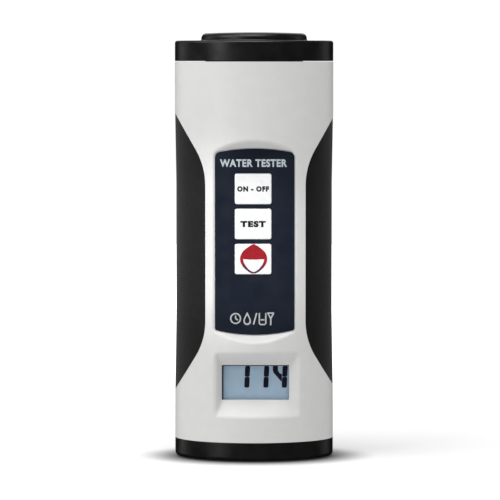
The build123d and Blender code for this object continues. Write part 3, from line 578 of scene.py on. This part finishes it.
def stage_backdrop():
    """A plain white dome that the camera sees all round, and that lights nothing."""
    reach, sides, steepest, step = 5.0, 24, 80, 20  # metres, and the rings' heights in degrees
    just_over_white = 1.02
    mesh = bpy.data.meshes.new("backdrop")
    rings = arc((0, 0), reach, -steepest, steepest, 2 * steepest // step)
    points = [(x, y, z) for radius, z in rings
              for x, y in arc((0, 0), radius, 0, 360, sides)[:-1]]
    faces = [(j + i, j + (i + 1) % sides, j + sides + (i + 1) % sides, j + sides + i)
             for j in range(0, len(points) - sides, sides) for i in range(sides)]
    caps = [tuple(range(sides)), tuple(range(len(points) - sides, len(points)))]
    mesh.from_pydata(points, [], faces + caps)
    white = Finish("backdrop_white")
    glow = white.nodes.new("ShaderNodeEmission")
    glow.inputs["Strength"].default_value = just_over_white
    white.links.new(glow.outputs["Emission"], white.output.inputs["Surface"])
    mesh.materials.append(white.material)
    dome = bpy.data.objects.new("backdrop", mesh)
    dome.visible_diffuse = dome.visible_glossy = dome.visible_transmission = False
    dome.visible_shadow = dome.visible_volume_scatter = False
    bpy.context.scene.collection.objects.link(dome)


def aimed(name, lamp, turn, rise, target):
    """Puts a lamp round the object from its front, and raised, in degrees, facing a height. The
    camera doesn't see it."""
    distance = 1.2
    turn, rise = math.radians(turn), math.radians(rise)
    away = Vector((math.sin(turn) * math.cos(rise), -math.cos(turn) * math.cos(rise),
                   math.sin(rise)))
    holder = bpy.data.objects.new(name, lamp)
    holder.location = Vector((0, 0, target)) + distance * away
    holder.rotation_euler = (-away).to_track_quat("-Z", "Y").to_euler()
    holder.visible_camera = False
    bpy.context.scene.collection.objects.link(holder)
    return holder


def softbox(name, turn, rise, width, height, watts, reflected=True):
    """A rectangular area light, in metres, which the glossy parts may reflect or not."""
    lamp = bpy.data.lights.new(name, "AREA")
    lamp.shape = "RECTANGLE"
    lamp.size, lamp.size_y = width, height
    lamp.energy = watts
    holder = aimed(name, lamp, turn, rise, (cad_box[0].z + cad_box[1].z) / 2)
    holder.visible_glossy = reflected


def snoot(name, turn, rise, beam, watts):
    """A soft-edged beam, its width in degrees, on the label and what lies beside it."""
    lamp = bpy.data.lights.new(name, "SPOT")
    lamp.spot_size = math.radians(beam)
    lamp.spot_blend = 0.5
    lamp.shadow_soft_size = 12 * MM
    lamp.energy = watts
    below_middle = 5 * MM
    aimed(name, lamp, turn, rise, (label_low.z + label_high.z) / 2 - below_middle)


def studio_light():
    """Softboxes on every side, the strongest above and at the left, a beam on the label, and a
    white room that lights the object without mirroring in it."""
    softbox("key_light", -42, 12, 0.35, 0.9, 2.0)
    softbox("wash_light", -68, 42, 0.8, 0.8, 4.3)
    softbox("fill_light", 76, 6, 0.45, 0.9, 0.8, reflected=False)
    softbox("top_light", -10, 72, 0.8, 0.8, 8.5)
    softbox("left_rim", -115, 10, 0.5, 1.0, 1.0)
    softbox("right_rim", 115, 10, 0.5, 1.0, 0.62)
    softbox("back_light", 180, 35, 0.9, 0.7, 2.0)
    snoot("label_beam", -30, 12, 3.65, 22.5)
    white_room(sky=0.535, ground=0.95)


def white_room(sky, ground):
    """A white room, less bright above than below, that lights without mirroring."""
    blend = 0.3  # how far above and below the horizon the two meet, as a direction's height
    world = bpy.data.worlds.new("white_room")
    world.use_nodes = True
    nodes, links = world.node_tree.nodes, world.node_tree.links
    towards = nodes.new("ShaderNodeSeparateXYZ")
    level = nodes.new("ShaderNodeMapRange")
    ends = {"From Min": -blend, "From Max": blend, "To Min": ground, "To Max": sky}
    for socket, end in ends.items():
        level.inputs[socket].default_value = end
    room = nodes["Background"]
    room.inputs["Color"].default_value = (1, 1, 1, 1)
    links.new(nodes.new("ShaderNodeTexCoord").outputs["Generated"], towards.inputs["Vector"])
    links.new(towards.outputs["Z"], level.inputs["Value"])
    links.new(level.outputs["Result"], room.inputs["Strength"])
    world.cycles_visibility.glossy = False
    bpy.context.scene.world = world


def photographer():
    """A long lens straight in front, a little above the middle of the object and tilted down."""
    distance, height, off_left, tilt = 1.3, 154.2 * MM, 1.59 * MM, 3.25
    lens = bpy.data.cameras.new("camera")
    lens.lens = 240.6  # millimetres, on a sensor 36 mm wide
    lens.sensor_width = 36.0
    lens.clip_end = 20.0
    holder = bpy.data.objects.new("camera", lens)
    holder.location = (-off_left, -distance, height)
    holder.rotation_euler = (math.radians(90 - tilt), 0, 0)
    bpy.context.scene.collection.objects.link(holder)
    bpy.context.scene.camera = holder


dress_cad_nodes()
print_header()
print_keys()
print_pictograms()
lcd_reading()
lcd_painted_shadow()
stage_floor()
stage_backdrop()
studio_light()
photographer()
bpy.context.scene.view_settings.view_transform = "Standard"
